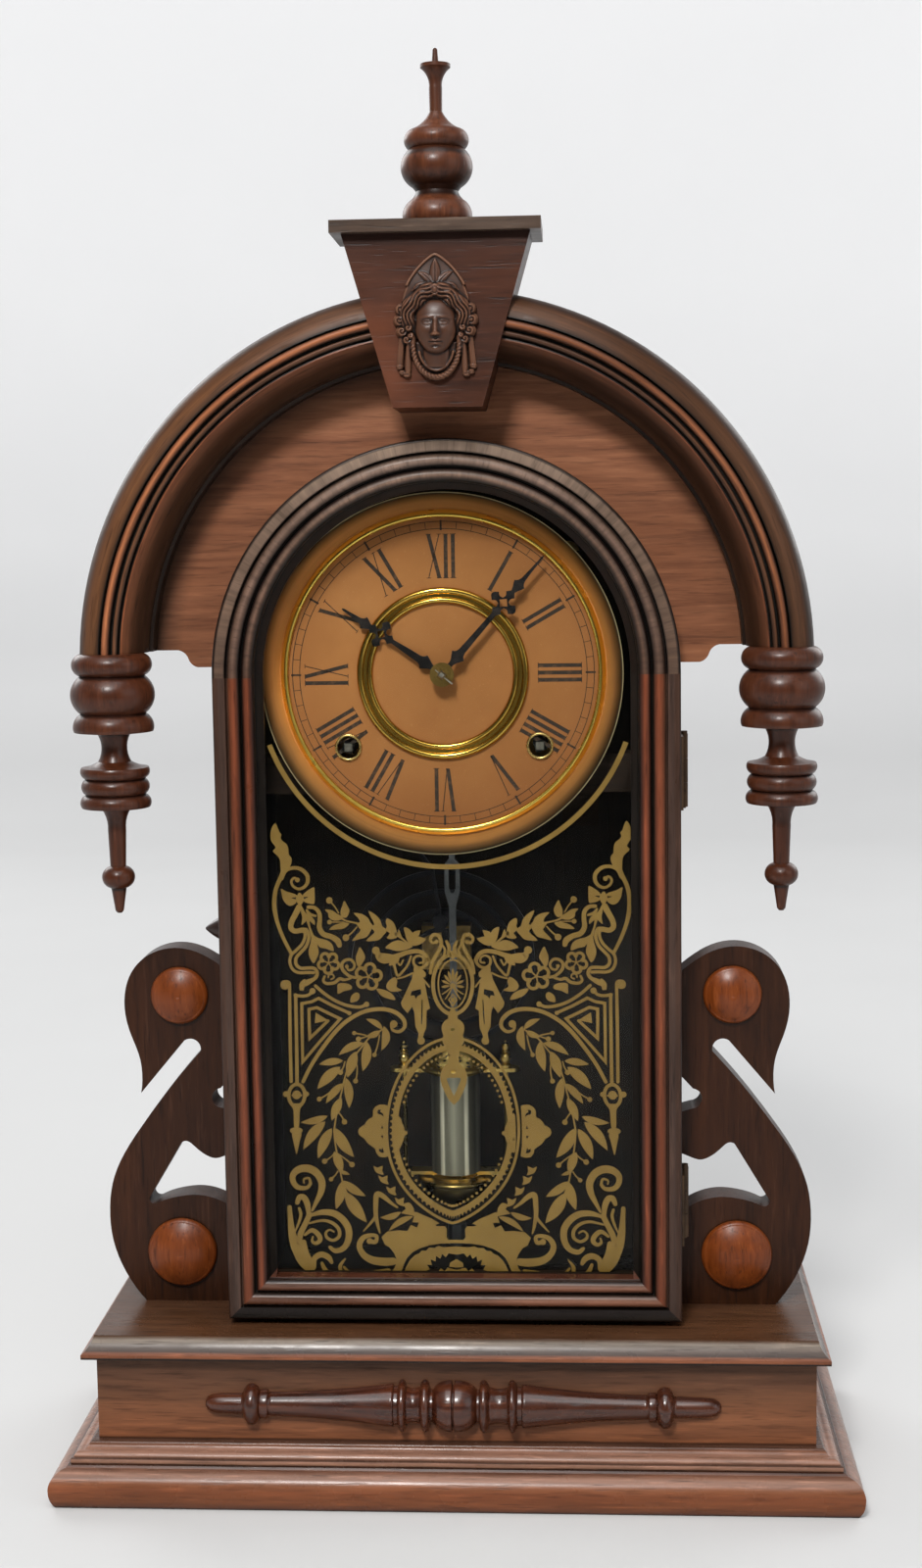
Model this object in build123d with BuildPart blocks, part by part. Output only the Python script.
from build123d import *
import os
import math

os.makedirs("parts", exist_ok=True)

# ---------------------------------------------------------------------------
# Walnut shelf clock with arched pediment: millimetres, +Z up, origin at the
# middle of the footprint, on the table.  Front of the clock looks along -Y.
# ---------------------------------------------------------------------------

# --- datum planes (Y) ---
Y_DOOR = -39.0            # front plane of the door
T_DOOR = 16.7             # door thickness
Y_CASE = -22.0            # front edges of the case sides, front of the pediment board
T_TYMP = 8.0              # pediment board thickness
Y_BACK = 62.0             # front face of the back board
T_BACK = 4.0
Y_REAR = 67.0             # rear of the base

# --- base ---
W_PLINTH = 149.0          # plinth half width
Y_PLINTH = -49.0          # plinth front face
Z_BASE = 16.4             # top of the lower base boards
Z_OGEE = 23.4             # top of the ogee moulding
Z_PLINTH = 59.6           # top of the plinth boards
Z_TOP = 68.4              # top of the plinth top board
W_TOPB = 154.4            # top board half width
Y_TOPB = -54.6

# --- case ---
W_CASE = 94.8             # case half width, outside
T_SIDE = 10.0
Z_CASE = 444.0            # top of the sides
Z_NOTCH = 344.2           # sides are set back above this height

# --- door ---
W_DOOR = 94.8             # door half width = outer radius of its arch
Z_DOOR0 = 71.1            # bottom of the door
Z_ARCH = 340.5            # springing line of the door arch
W_FRAME = 20.0            # width of the door frame
HINGE_X, HINGE_Y = 96.6, -22.35
HINGE_Z = (118.0, 300.0)

# --- pediment ---
Z_PED = 345.9             # centre of the big arch moulding
Z_PED0 = 351.3            # bottom of the arch moulding
R_PED_O = 146.8
R_PED_I = 120.0
Y_PED = -54.0
R_TYMP = 144.0

# --- keystone ---
KX0, KZ0 = 17.5, 446.3    # keystone half width and height at its bottom
KX1, KZ1 = 36.6, 512.8    # and at its top
Y_KEY = -55.0
Z_CAP = 517.6

# --- dial and movement ---
DX, DZ = -2.5, 339.8      # dial centre (it sits a little left of the middle)
PX = -1.0                 # pendulum line
ZP = 394.0                # pivot height of verge and pendulum
MINUTE_ANGLE = 41.4       # rest angle of the minute hand, clockwise from 12
HOUR_ANGLE = -56.3        # rest angle of the hour hand


def yd(v):
    """depth behind the door's front plane -> Y"""
    return Y_DOOR + v


def pxz(y):
    """sketch plane seen from the front (x right, y up) standing at Y = y"""
    return Plane.XZ.offset(-y)


def save(b, name):
    b.part.label = name
    export_step(b.part, "parts/%s.step" % name)


def cyl_y(cx, cz, y0, y1, r, mode=Mode.ADD):
    with BuildSketch(pxz(y1)) as sk:
        with Locations((cx, cz)):
            Circle(r)
    extrude(sk.sketch, amount=y1 - y0, mode=mode)


def cyl_z(cx, cy, z0, z1, r, mode=Mode.ADD):
    with BuildSketch(Plane.XY.offset(z0)) as sk:
        with Locations((cx, cy)):
            Circle(r)
    extrude(sk.sketch, amount=z1 - z0, mode=mode)


def slab(x0, x1, y0, y1, z0, z1, mode=Mode.ADD):
    with BuildSketch(Plane.XY.offset(z0)) as sk:
        with Locations(((x0 + x1) / 2, (y0 + y1) / 2)):
            Rectangle(x1 - x0, y1 - y0)
    extrude(sk.sketch, amount=z1 - z0, mode=mode)


def poly_y(pts, y0, y1, mode=Mode.ADD):
    """closed polygon of (x, z) points extruded from y0 to y1"""
    with BuildSketch(pxz(y1)) as sk:
        with BuildLine():
            Polyline(*[(p[0], p[1]) for p in pts], close=True)
        make_face()
    extrude(sk.sketch, amount=y1 - y0, mode=mode)


def path_from(segs):
    """chain of lines ("L", x, y) and three-point arcs ("A", xm, ym, x, y)"""
    p = segs[0]
    for s in segs[1:]:
        if s[0] == "L":
            q = (s[1], s[2])
            Line(p, q)
        else:
            q = (s[3], s[4])
            ThreePointArc(p, (s[1], s[2]), q)
        p = q


def turned(xc, yc, segs, angle=360.0):
    """solid of revolution about a vertical axis; segs in (radius, z)"""
    pl = Plane(origin=(xc, yc, 0), x_dir=(1, 0, 0), z_dir=(0, -1, 0))
    with BuildSketch(pl) as sk:
        with BuildLine():
            path_from(segs)
        make_face()
    revolve(sk.sketch, axis=Axis((xc, yc, 0), (0, 0, 1)), revolution_arc=angle)


# ===========================================================================
# BASE
# ===========================================================================
# profile coordinates: (distance out from the plinth face, height)
BASE_PROFILE = [(-20.0, 0.0), ("L", 15.6, 0.0), ("A", 17.4, 3.6, 18.0, 7.4),
                ("A", 16.4, 12.9, 11.6, 15.6), ("L", 10.9, 16.4), ("L", -20.0, 16.4),
                ("L", -20.0, 0.0)]
OGEE_PROFILE = [(-12.0, 16.4), ("L", 9.9, 16.4), ("L", 9.9, 18.8), ("L", 8.9, 19.0),
                ("A", 7.9, 20.5, 6.2, 20.9), ("A", 4.5, 21.2, 3.6, 22.3), ("L", 3.4, 22.4),
                ("A", 2.7, 23.3, 1.9, 23.4), ("L", -12.0, 23.4), ("L", -12.0, 16.4)]


def moulding_front(profile):
    """front run, mitred at 45 degrees to the side runs"""
    with BuildSketch(Plane.YZ) as sk:
        with BuildLine():
            path_from([(Y_PLINTH - profile[0][0], profile[0][1])] +
                      [tuple([s[0]] + [(Y_PLINTH - v) if i % 2 == 0 else v for i, v in enumerate(s[1:])])
                       for s in profile[1:]])
        make_face()
    extrude(sk.sketch, amount=175.0, both=True)
    # mitre planes run through the plinth corners
    split(bisect_by=Plane(origin=(W_PLINTH, Y_PLINTH, 0), z_dir=(-1, -1, 0)), keep=Keep.TOP)
    split(bisect_by=Plane(origin=(-W_PLINTH, Y_PLINTH, 0), z_dir=(1, -1, 0)), keep=Keep.TOP)


def moulding_side(profile, s):
    """side run from the mitre to the rear; s = -1 left, +1 right"""
    with BuildSketch(Plane.XZ.offset(-Y_REAR)) as sk:
        with BuildLine():
            path_from([(s * (W_PLINTH + profile[0][0]), profile[0][1])] +
                      [tuple([q[0]] + [(s * (W_PLINTH + v)) if i % 2 == 0 else v for i, v in enumerate(q[1:])])
                       for q in profile[1:]])
        make_face()
    extrude(sk.sketch, amount=Y_REAR + 75.0)
    split(bisect_by=Plane(origin=(s * W_PLINTH, Y_PLINTH, 0), z_dir=(s * 1, 1, 0)), keep=Keep.TOP)


with BuildPart() as bf:
    moulding_front(BASE_PROFILE)
with BuildPart() as bl:
    moulding_side(BASE_PROFILE, -1)
with BuildPart() as br:
    moulding_side(BASE_PROFILE, 1)
base_boards_c = Compound(children=[bf.part.solids()[0], bl.part.solids()[0], br.part.solids()[0]])
base_boards_c.label = "base_boards"
export_step(base_boards_c, "parts/base_boards.step")

with BuildPart() as of_:
    moulding_front(OGEE_PROFILE)
with BuildPart() as ol:
    moulding_side(OGEE_PROFILE, -1)
with BuildPart() as orr:
    moulding_side(OGEE_PROFILE, 1)
ogee_c = Compound(children=[of_.part.solids()[0], ol.part.solids()[0], orr.part.solids()[0]])
ogee_c.label = "ogee_mouldings"
export_step(ogee_c, "parts/ogee_mouldings.step")

with BuildPart() as plinth_front_board:
    slab(-W_PLINTH, W_PLINTH, Y_PLINTH, Y_PLINTH + 12, Z_OGEE, Z_PLINTH)
save(plinth_front_board, "plinth_front_board")

ps = []
for x0, x1, y0, y1 in ((W_PLINTH - 12, W_PLINTH, Y_PLINTH + 12, Y_REAR - 12),
                       (-W_PLINTH, -W_PLINTH + 12, Y_PLINTH + 12, Y_REAR - 12),
                       (-W_PLINTH, W_PLINTH, Y_REAR - 12, Y_REAR)):
    with BuildPart() as pb:
        slab(x0, x1, y0, y1, Z_OGEE, Z_PLINTH)
    ps.append(pb.part.solids()[0])
plinth_rear_boards = Compound(children=ps)
plinth_rear_boards.label = "plinth_side_and_back_boards"
export_step(plinth_rear_boards, "parts/plinth_side_and_back_boards.step")

# top board with a coved upper edge on the front and both ends
LIP = 1.9
COVE = 4.8
with BuildPart() as plinth_top_board:
    slab(-W_TOPB, W_TOPB, Y_TOPB, Y_REAR, Z_PLINTH, Z_TOP)
    zc0 = Z_PLINTH + LIP
    cove = [(-2.0, zc0), ("L", 0.0, zc0), ("A", 2.9, 64.2, COVE, Z_TOP), ("L", COVE, Z_TOP + 2), ("L", -2.0, Z_TOP + 2),
            ("L", -2.0, zc0)]
    with BuildSketch(Plane.YZ.offset(-170)):
        with BuildLine():
            path_from([(Y_TOPB + cove[0][0], cove[0][1])] +
                      [tuple([s[0]] + [(Y_TOPB + v) if i % 2 == 0 else v for i, v in enumerate(s[1:])])
                       for s in cove[1:]])
        make_face()
    extrude(amount=340, mode=Mode.SUBTRACT)
    for sgn in (-1, 1):
        with BuildSketch(Plane.XZ.offset(-(Y_REAR + 1))):
            with BuildLine():
                path_from([(sgn * (W_TOPB - cove[0][0]), cove[0][1])] +
                          [tuple([s[0]] + [(sgn * (W_TOPB - v)) if i % 2 == 0 else v for i, v in enumerate(s[1:])])
                           for s in cove[1:]])
            make_face()
        extrude(amount=130, mode=Mode.SUBTRACT)
save(plinth_top_board, "plinth_top_board")

# half-turned spindle glued on the plinth: (distance from the middle, radius)
SP_Z = 39.3
SP_L = [(0.0, 10.5), (0.45, 10.5), (0.5, 10.8), (3.2, 10.6), (6.4, 9.2), (8.4, 7.0), (9.5, 7.0), (10.0, 9.6), (11.0, 10.9),
        (12.3, 10.9), (13.4, 9.4), (13.8, 7.9), (16.6, 7.3), (19.3, 8.0), (19.7, 9.6), (20.6, 10.9), (21.7, 10.9),
        (22.6, 9.6), (23.0, 8.2), (24.6, 8.2), (24.9, 9.2), (32.0, 8.3), (42.0, 7.2), (52.0, 6.3), (64.0, 5.6), (76.9, 5.1),
        (77.2, 6.2), (80.3, 6.2), (80.6, 5.6), (81.2, 7.2), (83.0, 8.6), (85.3, 8.4), (87.0, 6.6), (87.6, 4.6), (92.0, 4.5),
        (97.0, 4.3), (100.6, 3.8), (102.8, 2.7), (103.6, 1.2), (103.8, 0.0)]
SP_R = [(0.0, 10.5), (0.45, 10.5), (0.5, 10.8), (3.6, 10.6), (7.2, 9.2), (9.6, 7.0), (10.6, 7.0), (11.0, 9.6), (12.0, 10.9),
        (13.2, 10.9), (14.4, 9.4), (15.0, 7.9), (18.9, 7.3), (22.4, 8.0), (22.9, 9.6), (23.7, 10.9), (24.9, 10.9),
        (26.0, 9.6), (26.5, 8.2), (28.3, 8.2), (28.7, 9.2), (36.0, 8.3), (46.0, 7.2), (56.0, 6.3), (68.0, 5.6), (80.2, 5.1),
        (80.5, 6.2), (83.2, 6.2), (83.5, 5.6), (84.2, 7.2), (86.2, 8.6), (88.6, 8.4), (90.2, 6.6), (91.0, 4.6), (97.0, 4.5),
        (103.0, 4.3), (107.0, 3.8), (109.2, 2.7), (110.1, 1.2), (110.3, 0.0)]
with BuildPart() as plinth_spindle:
    with BuildSketch(Plane(origin=(0, Y_PLINTH, SP_Z), x_dir=(1, 0, 0), z_dir=(0, -1, 0))):
        with BuildLine():
            left = [(-a, r) for a, r in SP_L[::-1]]
            right = [(a, r) for a, r in SP_R[1:]]
            Polyline(*(left + right), close=True)
        make_face()
    revolve(axis=Axis((0, Y_PLINTH, SP_Z), (1, 0, 0)), revolution_arc=180)
save(plinth_spindle, "plinth_spindle")

# ===========================================================================
# CASE
# ===========================================================================
KNOB_Y, KNOB_Z = yd(30.0), 232.5
SIDE_PROFILE = [(Y_CASE, Z_TOP), (Y_BACK, Z_TOP), (Y_BACK, Z_CASE), (Y_CASE + T_TYMP, Z_CASE),
                (Y_CASE + T_TYMP, Z_NOTCH), (Y_CASE, Z_NOTCH)]
with BuildPart() as case_sides:
    with BuildSketch(Plane.YZ.offset(W_CASE - T_SIDE)):
        with BuildLine():
            Polyline(*SIDE_PROFILE, close=True)
        make_face()
    extrude(amount=T_SIDE)
    mirror(about=Plane.YZ)
    # hole for the catch spindle in the left side
    with BuildSketch(Plane.YZ.offset(-W_CASE - 1)):
        with Locations((KNOB_Y, KNOB_Z)):
            Circle(1.56)
    extrude(amount=T_SIDE + 2, mode=Mode.SUBTRACT)
save(case_sides, "case_sides")

with BuildPart() as case_top_board:
    slab(-W_CASE, W_CASE, Y_CASE + T_TYMP, Y_BACK, Z_CASE, Z_CASE + 8)
save(case_top_board, "case_top_board")

with BuildPart() as case_back_board:
    slab(-W_CASE, W_CASE, Y_BACK, Y_BACK + T_BACK, Z_TOP, Z_CASE + 8)
save(case_back_board, "case_back_board")

# pediment board behind the arch moulding, with an arched opening for the dial
xo = math.sqrt(R_TYMP ** 2 - (Z_PED0 - Z_PED) ** 2)
R_OPEN = 82.0
xi = math.sqrt(R_OPEN ** 2 - (Z_NOTCH - Z_ARCH) ** 2)
with BuildPart() as tympanum_panel:
    with BuildSketch(pxz(Y_CASE + T_TYMP)):
        with BuildLine():
            ThreePointArc((xo, Z_PED0), (0, Z_PED + R_TYMP), (-xo, Z_PED0))
            Line((-xo, Z_PED0), (-111.2, Z_PED0))
            ThreePointArc((-111.2, Z_PED0), (-108.6, 350.2), (-106.9, 347.8))
            ThreePointArc((-106.9, 347.8), (-105.4, 345.4), (-103.0, Z_NOTCH))
            Line((-103.0, Z_NOTCH), (-xi, Z_NOTCH))
            ThreePointArc((-xi, Z_NOTCH), (0, Z_ARCH + R_OPEN), (xi, Z_NOTCH))
            Line((xi, Z_NOTCH), (103.0, Z_NOTCH))
            ThreePointArc((103.0, Z_NOTCH), (105.4, 345.4), (106.9, 347.8))
            ThreePointArc((106.9, 347.8), (108.6, 350.2), (111.2, Z_PED0))
            Line((111.2, Z_PED0), (xo, Z_PED0))
        make_face()
    extrude(amount=T_TYMP)
save(tympanum_panel, "tympanum_panel")

# ===========================================================================
# PEDIMENT MOULDING, KEYSTONE, FINIALS
# ===========================================================================
DROP_X, DROP_Y = 134.5, -42.0
with BuildPart() as arch_r:
    # profile in (radius, Y): outer ovolo, bead, two small beads, deep cove
    with BuildSketch(Plane.XY.offset(Z_PED)):
        with BuildLine():
            path_from([(R_PED_O, Y_CASE), ("L", R_PED_O, -40.0), ("A", 144.3, -49.9, 137.2, -53.6),
                       ("L", 136.6, -51.9), ("A", 134.9, -53.9, 133.2, -52.2), ("L", 132.9, -50.9),
                       ("L", 132.3, -50.9), ("A", 131.2, -52.3, 130.1, -51.0), ("L", 129.9, -50.0),
                       ("L", 129.4, -50.0), ("L", 129.3, -50.9), ("L", 128.6, -51.1),
                       ("A", 122.9, -43.2, 121.2, -31.0), ("L", 120.0, -30.0), ("L", R_PED_I, Y_CASE),
                       ("L", R_PED_O, Y_CASE)])
        make_face()
    revolve(axis=Axis((0, 0, Z_PED), (0, -1, 0)), revolution_arc=100)
    split(bisect_by=Plane(origin=(0, 0, Z_PED0), z_dir=(0, 0, 1)), keep=Keep.TOP)
    kn = (KZ1 - KZ0, 0, -(KX1 - KX0))          # outward normal of the right keystone side
    split(bisect_by=Plane(origin=(KX0, 0, KZ0), z_dir=kn), keep=Keep.TOP)
    # dowel hole for the drop finial
    cyl_z(DROP_X, DROP_Y, Z_PED0 - 1, Z_PED0 + 10.0, 4.0, mode=Mode.SUBTRACT)
with BuildPart() as arch_mouldings:
    add(arch_r.part)
    mirror(about=Plane.YZ)
save(arch_mouldings, "arch_mouldings")

with BuildPart() as keystone_block:
    poly_y([(-KX0, KZ0), (KX0, KZ0), (KX1, KZ1), (-KX1, KZ1)], Y_KEY, Y_CASE)
    # dowel hole for the top finial
    cyl_z(0, -40.0, KZ1 - 8, KZ1 + 1, 4.0, mode=Mode.SUBTRACT)
save(keystone_block, "keystone_block")

with BuildPart() as keystone_cap:
    slab(-40.8, 40.8, -59.2, -20.0, KZ1, Z_CAP)
    cyl_z(0, -40.0, KZ1 - 1, Z_CAP + 1, 4.0, mode=Mode.SUBTRACT)
save(keystone_cap, "keystone_cap")

# carved mask: plain relief of a diademed head
MY = Y_KEY
with BuildPart() as keystone_mask:
    with BuildSketch(pxz(MY)):
        with BuildLine():
            Polyline((-15.5, 463.0), (-13.5, 460.0), (-9.0, 463.5), (-4.5, 458.4), (0, 457.5), (4.5, 458.4), (9.0, 463.5),
                     (13.5, 460.0), (15.5, 463.0), (14.5, 474.0), (16.0, 482.0), (14.6, 489.0), (9.0, 497.5), (0, 504.6),
                     (-9.0, 497.5), (-14.6, 489.0), (-16.0, 482.0), (-14.5, 474.0), close=True)
        make_face()
    extrude(amount=2.6)
    for off, a, b in ((2.6, 11.5, 15.5), (5.8, 9.6, 13.2), (8.2, 5.6, 8.0)):
        with BuildSketch(pxz(MY - off)):
            with Locations((0, 479.0)):
                Ellipse(a, b)
    loft()
save(keystone_mask, "keystone_mask")

with BuildPart() as top_finial:
    turned(0, -40.0, [(0, KZ1 - 7.5), ("L", 4.0, KZ1 - 7.5), ("L", 4.0, Z_CAP), ("L", 12.9, Z_CAP),
                      ("A", 13.7, 521.2, 11.4, 526.2), ("A", 9.2, 528.3, 8.25, 530.2), ("L", 9.7, 532.0),
                      ("A", 14.1, 539.6, 10.9, 546.2), ("A", 12.7, 549.6, 10.3, 553.6),
                      ("A", 5.7, 556.3, 3.0, 559.7), ("L", 2.5, 560.6), ("L", 2.6, 569.6),
                      ("A", 3.1, 573.6, 5.9, 577.2), ("L", 5.9, 578.5), ("L", 5.2, 578.5), ("A", 3.4, 577.6, 1.4, 578.0),
                      ("L", 1.25, 580.0), ("L", 0.95, 584.0), ("L", 0.5, 584.6), ("L", 0, 584.6), ("L", 0, KZ1 - 7.5)])
save(top_finial, "top_finial")

with BuildPart() as drop_finials:
    turned(DROP_X, DROP_Y, [(0, Z_PED0 + 9.5), ("L", 4.0, Z_PED0 + 9.5), ("L", 4.0, Z_PED0), ("L", 13.0, Z_PED0),
                            ("A", 16.2, 346.8, 13.1, 342.4), ("A", 17.0, 334.7, 13.2, 327.1),
                            ("A", 15.6, 324.6, 16.3, 320.8), ("L", 16.0, 319.8), ("L", 6.6, 318.7),
                            ("A", 5.2, 313.4, 6.7, 307.6), ("A", 9.5, 306.2, 13.6, 305.2),
                            ("A", 14.0, 303.0, 12.0, 300.6), ("A", 13.8, 297.3, 12.0, 294.1),
                            ("A", 14.3, 291.4, 13.8, 288.9), ("L", 6.0, 288.3), ("A", 4.3, 284.8, 3.7, 279.4),
                            ("L", 3.2, 264.6), ("A", 6.7, 259.9, 3.2, 255.6), ("L", 3.0, 254.8), ("L", 1.7, 246.2),
                            ("L", 1.0, 245.3), ("L", 0, 245.3), ("L", 0, Z_PED0 + 9.5)])
    mirror(about=Plane.YZ)
save(drop_finials, "drop_finials")

# ===========================================================================
# SCROLL BRACKETS
# ===========================================================================
Y_SCR0, Y_SCR1 = yd(30.0), yd(44.0)
with BuildPart() as scroll_brackets:
    with BuildSketch(pxz(Y_SCR1)):
        with BuildLine():
            Spline((94.8, 212.6), (100.9, 217.4), (106.7, 221.0), (116.3, 223.9), (124.9, 223.2), (132.6, 219.4),
                   (138.2, 212.9), (141.0, 204.2), (141.1, 195.5), (139.1, 186.8), (135.5, 176.5), (134.6, 169.0),
                   (135.3, 160.7))
            Line((135.3, 160.7), (115.9, 183.7))
            ThreePointArc((115.9, 183.7), (111.3, 184.0), (109.0, 179.1))
            Spline((109.0, 179.1), (121.3, 164.9), (135.5, 146.1), (142.9, 135.0), (148.8, 121.7), (150.6, 109.4),
                   (149.7, 96.0), (145.2, 82.6), (135.8, Z_TOP))
            Line((135.8, Z_TOP), (94.8, Z_TOP))
            Line((94.8, Z_TOP), (94.8, 108.6))
            Spline((94.8, 108.6), (100.6, 112.4), (104.4, 114.1), (111.9, 115.7), (119.6, 115.1), (126.2, 113.4),
                   (130.0, 111.7))
            ThreePointArc((130.0, 111.7), (132.4, 112.2), (133.2, 114.2))
            Line((133.2, 114.2), (118.3, 139.0))
            Spline((118.3, 139.0), (116.1, 139.5), (112.4, 136.8), (108.2, 133.5), (103.9, 132.0), (101.1, 132.6),
                   (94.8, 135.0))
            Line((94.8, 135.0), (94.8, 152.6))
            Line((94.8, 152.6), (100.5, 154.2))
            ThreePointArc((100.5, 154.2), (104.6, 158.2), (100.8, 162.9))
            Line((100.8, 162.9), (94.8, 169.4))
            Line((94.8, 169.4), (94.8, 212.6))
        make_face()
    extrude(amount=Y_SCR1 - Y_SCR0)
    mirror(about=Plane.YZ)
save(scroll_brackets, "scroll_brackets")


def button(cx, cz, r, h):
    """low turned button standing on the bracket front, axis along Y, domed about a centre on the axis"""
    e = r - 1.6
    rise = h - 2.9
    R = (e * e + rise * rise) / (2 * rise)
    ym = (R - h) - math.sqrt(R * R - (e / 2) ** 2)
    pl = Plane(origin=(cx, Y_SCR0, cz), x_dir=(1, 0, 0), z_dir=(0, 0, 1))
    with BuildSketch(pl) as sk:
        with BuildLine():
            path_from([(0, 0), ("L", r - 0.6, 0), ("L", r, -0.9), ("A", r - 0.5, -2.2, r - 1.6, -2.9),
                       ("A", e / 2, ym, 0, -h), ("L", 0, 0)])
        make_face()
    revolve(sk.sketch, axis=Axis((cx, Y_SCR0, cz), (0, 1, 0)), revolution_arc=360)


with BuildPart() as bracket_bosses:
    for sg in (-1, 1):
        button(sg * 117.3, 203.6, 12.3, 6.2)
        button(sg * 119.2, 90.6, 15.0, 7.0)
save(bracket_bosses, "bracket_bosses")

# ===========================================================================
# DIAL
# ===========================================================================
WIND = [(DX + 40.0, DZ - 30.4), (DX - 40.0, DZ - 30.4)]

with BuildPart() as dial_support_blocks:
    for sx in (-1, 1):
        for sz in (-1, 1):
            xa, xb = sorted((sx * 49.0, sx * (W_CASE - T_SIDE)))
            slab(xa, xb, yd(28.9), yd(42.0), DZ + sz * 42 - 8, DZ + sz * 42 + 8)
save(dial_support_blocks, "dial_support_blocks")


def ring_y(cx, cz, segs):
    """ring about an axis along Y; segs in (radius, Y)"""
    pl = Plane(origin=(cx, 0, cz), x_dir=(1, 0, 0), z_dir=(0, 0, 1))
    with BuildSketch(pl) as sk:
        with BuildLine():
            path_from(segs)
        make_face()
    revolve(sk.sketch, axis=Axis((cx, 0, cz), (0, 1, 0)), revolution_arc=360)


with BuildPart() as dial_pan:
    ring_y(DX, DZ, [(3.6, yd(28.3)), ("L", 68.2, yd(28.3)), ("L", 73.9, yd(19.3)), ("L", 74.7, yd(19.3)),
                    ("L", 74.7, yd(19.9)), ("L", 68.6, yd(28.9)), ("L", 3.6, yd(28.9)), ("L", 3.6, yd(28.3))])
    for wx, wz in WIND:
        cyl_y(wx, wz, yd(27.0), yd(30.0), 5.0, mode=Mode.SUBTRACT)
save(dial_pan, "dial_pan")

with BuildPart() as dial_paper:
    ring_y(DX, DZ, [(3.6, yd(28.0)), ("L", 64.6, yd(28.0)), ("L", 64.6, yd(28.3)), ("L", 3.6, yd(28.3)),
                    ("L", 3.6, yd(28.0))])
    for wx, wz in WIND:
        cyl_y(wx, wz, yd(27.0), yd(30.0), 5.0, mode=Mode.SUBTRACT)
save(dial_paper, "dial_paper")

with BuildPart() as dial_bezel_ring:
    ring_y(DX, DZ, [(64.6, yd(28.3)), ("L", 64.6, yd(27.4)), ("A", 65.5, yd(25.7), 66.6, yd(26.6)),
                    ("L", 67.2, yd(27.2)), ("L", 67.8, yd(28.3)), ("L", 64.6, yd(28.3))])
save(dial_bezel_ring, "dial_bezel_ring")

with BuildPart() as dial_centre_ring:
    ring_y(DX, DZ, [(29.3, yd(28.0)), ("A", 30.5, yd(26.2), 31.7, yd(27.3)), ("L", 33.0, yd(27.3)),
                    ("A", 34.3, yd(26.0), 35.7, yd(28.0)), ("L", 29.3, yd(28.0))])
save(dial_centre_ring, "dial_centre_ring")

with BuildPart() as winding_hole_grommets:
    for wx, wz in WIND:
        ring_y(wx, wz, [(4.5, yd(29.2)), ("L", 4.5, yd(27.2)), ("A", 5.1, yd(26.8), 5.7, yd(27.3)),
                        ("L", 5.8, yd(28.0)), ("L", 5.0, yd(28.0)), ("L", 5.0, yd(29.2)), ("L", 4.5, yd(29.2))])
save(winding_hole_grommets, "winding_hole_grommets")

# ===========================================================================
# DOOR
# ===========================================================================
# frame section: (distance in from the outer edge, depth behind the front plane)
FRAME = [(0.0, 2.2), ("A", 0.45, 1.35, 1.3, 1.1), ("L", 5.2, 1.1), ("L", 5.7, 3.0), ("L", 6.1, 3.0),
         ("A", 8.75, 0.0, 11.4, 3.0), ("L", 11.9, 3.2), ("A", 14.5, 0.6, 17.1, 3.6), ("L", 17.5, 4.1),
         ("L", W_FRAME, 8.0), ("L", W_FRAME, 10.0), ("L", 16.0, 10.0), ("L", 16.0, T_DOOR), ("L", 0.0, T_DOOR),
         ("L", 0.0, 2.2)]


def mapped(profile, f):
    out = [f(profile[0][0], profile[0][1])]
    for s in profile[1:]:
        v = [s[0]]
        for i in range(1, len(s), 2):
            v += list(f(s[i], s[i + 1]))
        out.append(tuple(v))
    return out


with BuildPart() as stile_r:
    with BuildSketch(Plane.XY.offset(Z_DOOR0)):
        with BuildLine():
            path_from(mapped(FRAME, lambda u, w: (W_DOOR - u, yd(w))))
        make_face()
    extrude(amount=Z_ARCH - Z_DOOR0)
    split(bisect_by=Plane(origin=(W_DOOR, 0, Z_DOOR0), z_dir=(1, 0, 1)), keep=Keep.TOP)
with BuildPart() as door_stiles:
    add(stile_r.part)
    mirror(about=Plane.YZ)
save(door_stiles, "door_stiles")

with BuildPart() as door_bottom_rail:
    with BuildSketch(Plane.YZ):
        with BuildLine():
            path_from(mapped(FRAME, lambda u, w: (yd(w), Z_DOOR0 + u)))
        make_face()
    extrude(amount=W_DOOR, both=True)
    split(bisect_by=Plane(origin=(W_DOOR, 0, Z_DOOR0), z_dir=(-1, 0, -1)), keep=Keep.TOP)
    split(bisect_by=Plane(origin=(-W_DOOR, 0, Z_DOOR0), z_dir=(1, 0, -1)), keep=Keep.TOP)
    # the bottom rail is a little narrower: its inner bevel is planed away between the stiles
    with BuildSketch(pxz(yd(10.5))) as lip:
        with Locations((0, Z_DOOR0 + 17.5 + 2.0)):
            Rectangle(2 * (W_DOOR - W_FRAME), 4.0)
    extrude(lip.sketch, amount=9.0, mode=Mode.SUBTRACT)
save(door_bottom_rail, "door_bottom_rail")

with BuildPart() as door_arch_rail:
    with BuildSketch(Plane.XY.offset(Z_ARCH)):
        with BuildLine():
            path_from(mapped(FRAME, lambda u, w: (W_DOOR - u, yd(w))))
        make_face()
    revolve(axis=Axis((0, 0, Z_ARCH), (0, -1, 0)), revolution_arc=180)
save(door_arch_rail, "door_arch_rail")

GW = W_DOOR - 16.3


def arched(half, zb, y0, y1, mode=Mode.ADD):
    with BuildSketch(pxz(y1)) as sk:
        with BuildLine():
            Line((-half, zb), (half, zb))
            Line((half, zb), (half, Z_ARCH))
            ThreePointArc((half, Z_ARCH), (0, Z_ARCH + half), (-half, Z_ARCH))
            Line((-half, Z_ARCH), (-half, zb))
        make_face()
    extrude(sk.sketch, amount=y1 - y0, mode=mode)


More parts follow.
